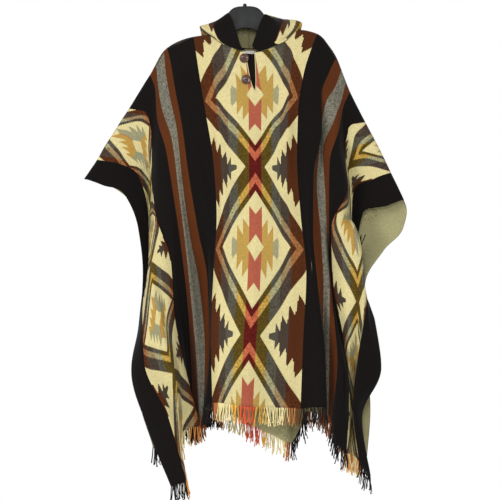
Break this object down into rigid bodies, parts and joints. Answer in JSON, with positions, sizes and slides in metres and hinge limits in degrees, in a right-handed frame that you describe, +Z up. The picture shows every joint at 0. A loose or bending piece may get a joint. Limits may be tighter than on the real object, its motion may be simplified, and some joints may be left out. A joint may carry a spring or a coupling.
{
  "type": "hooded wool poncho on a hanger",
  "caption": "Hooded wool poncho with serrated diamond bands and fringed hems, hung from a plain plastic hanger with a wire hook; buttoned neck slit and open sides.",
  "frame": {"origin": "inside top of the hanger's hook, where it rests on a rail", "axes": "+Z up, -Y towards the front of the garment, +X to the viewer's right"},
  "size_m": [0.842, 0.215, 1.3587],
  "materials": {
    "blanket_cloth": "thick matt wool blanket cloth, woven in bands of cream, black, rust and grey with serrated diamonds, softly brushed",
    "black_cloth": "matt black wool cloth",
    "fringe_yarn": "twisted matt wool warp ends in the colours of the bands above them",
    "coconut_shell": "polished dark brown coconut shell",
    "label_tape": "bare white woven tape",
    "black_plastic": "satin black moulded plastic",
    "steel_wire": "bright plated wire"
  },
  "bodies": {
    "root": {"cloth_front": "blanket_cloth", "cloth_back": "blanket_cloth", "hood_left": "blanket_cloth", "hood_right": "blanket_cloth", "slit_underlap": "black_cloth", "neck_label": "label_tape", "button_upper": "coconut_shell", "button_lower": "coconut_shell", "hanger": "black_plastic", "hanger_ferrule": "black_plastic", "hanger_hook": "steel_wire", "fringe_front_left": "fringe_yarn", "fringe_front_middle": "fringe_yarn", "fringe_front_right": "fringe_yarn", "fringe_back_left": "fringe_yarn", "fringe_back_middle": "fringe_yarn", "fringe_back_right": "fringe_yarn"}
  },
  "joints": []
}
